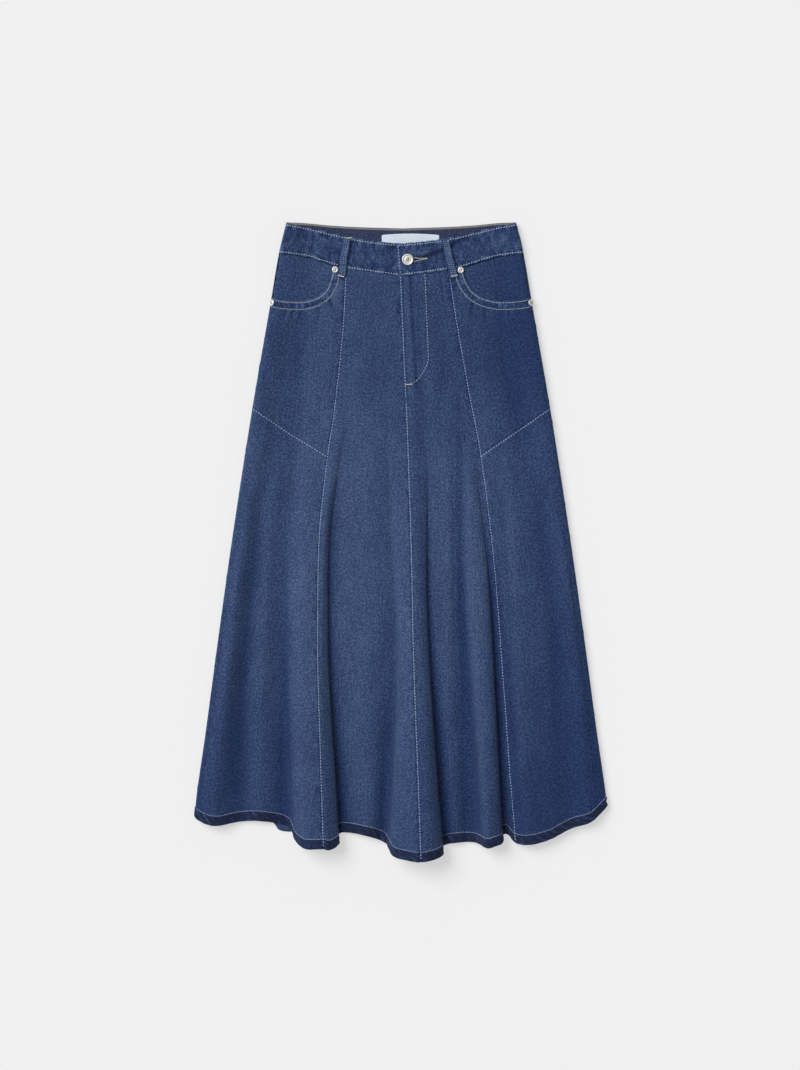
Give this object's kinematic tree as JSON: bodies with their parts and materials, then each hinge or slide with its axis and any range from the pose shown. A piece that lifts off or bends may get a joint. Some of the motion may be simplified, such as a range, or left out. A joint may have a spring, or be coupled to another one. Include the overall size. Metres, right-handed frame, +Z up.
{
  "type": "denim skirt",
  "caption": "Long flared denim skirt laid flat on its back: fitted waistband with button and belt loops, curved pocket mouths, princess seams and soft flutes at the hem.",
  "frame": {"origin": "middle of the outline, on the surface the skirt lies on", "axes": "+X to the right as seen from above, +Y from hem to waist, +Z up from the surface"},
  "size_m": [0.5788, 0.8921, 0.0391],
  "materials": {
    "denim": "mid-blue washed twill, matt",
    "denim_inside": "paler reverse of the twill, matt",
    "metal": "aged silver, satin",
    "tape": "smooth woven label, bare"
  },
  "bodies": {
    "root": {"waistband_left": "denim", "waistband_right": "denim", "waistband_back": "denim", "front_centre_left": "denim", "front_centre_right": "denim", "front_side_left": "denim", "front_side_right": "denim", "hip_left": "denim", "hip_right": "denim", "pocket_facing_left": "denim", "pocket_facing_right": "denim", "back_left": "denim_inside", "back_right": "denim_inside", "belt_loop_left": "denim", "belt_loop_right": "denim", "button": "metal", "rivet_left_inner": "metal", "rivet_right_inner": "metal", "rivet_left_side": "metal", "rivet_right_side": "metal", "label": "tape"}
  },
  "joints": []
}
